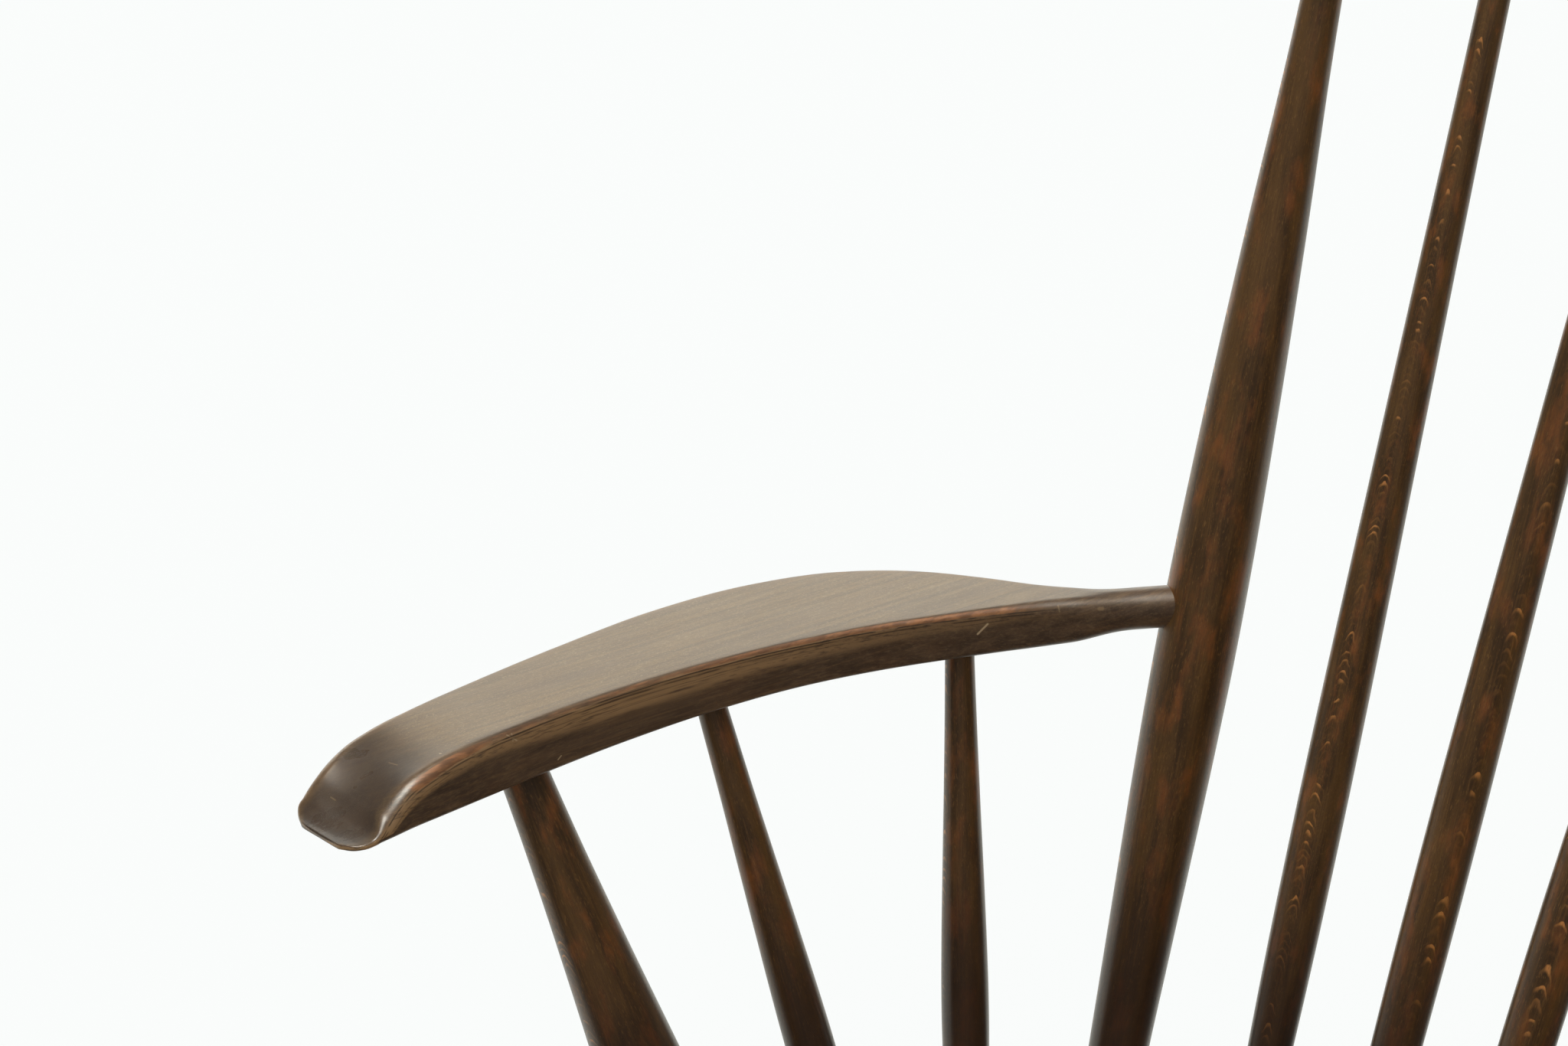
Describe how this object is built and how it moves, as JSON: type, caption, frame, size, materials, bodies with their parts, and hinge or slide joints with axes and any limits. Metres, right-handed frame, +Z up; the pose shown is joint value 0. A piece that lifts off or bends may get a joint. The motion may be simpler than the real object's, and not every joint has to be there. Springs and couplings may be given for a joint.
{
  "type": "rocking chair",
  "caption": "Spindle-back rocking chair with a dished plank seat, sculpted arms on turned supports, a curved crest rail and legs socketed into curved rockers.",
  "frame": {"origin": "on the floor, midway along the rockers' length and midway between the two rockers", "axes": "+X to the sitter's left, +Y to the back of the chair, +Z up"},
  "size_m": [0.6652, 0.792, 1.0673],
  "materials": {
    "turned_wood": "dark walnut-stained beech, satin lacquer, fine grain with short amber flecks",
    "carved_wood": "dark walnut-stained beech, satin lacquer, grain along the piece, worn reddish arrises",
    "seat_wood": "dark walnut-stained beech plank, satin lacquer",
    "rocker_wood": "dark walnut-stained beech, satin lacquer, running edge rubbed",
    "pin_wood": "stained end grain of pins and wedges"
  },
  "bodies": {
    "root": {"seat": "seat_wood", "back_post_right": "turned_wood", "back_post_left": "turned_wood", "back_spindle_1": "turned_wood", "back_spindle_2": "turned_wood", "back_spindle_3": "turned_wood", "back_spindle_4": "turned_wood", "back_spindle_5": "turned_wood", "back_spindle_6": "turned_wood", "crest_rail": "carved_wood", "arm_right": "carved_wood", "arm_left": "carved_wood", "arm_post_right": "turned_wood", "arm_post_left": "turned_wood", "arm_spindle_middle_right": "turned_wood", "arm_spindle_middle_left": "turned_wood", "arm_spindle_rear_right": "turned_wood", "arm_spindle_rear_left": "turned_wood", "front_leg_right": "turned_wood", "front_leg_left": "turned_wood", "rear_leg_right": "turned_wood", "rear_leg_left": "turned_wood", "leg_wedges": "pin_wood", "side_stretcher_right": "turned_wood", "side_stretcher_left": "turned_wood", "cross_stretcher": "turned_wood", "rocker_right": "rocker_wood", "rocker_left": "rocker_wood", "rocker_pins": "pin_wood", "crest_pins": "pin_wood"}
  },
  "joints": []
}
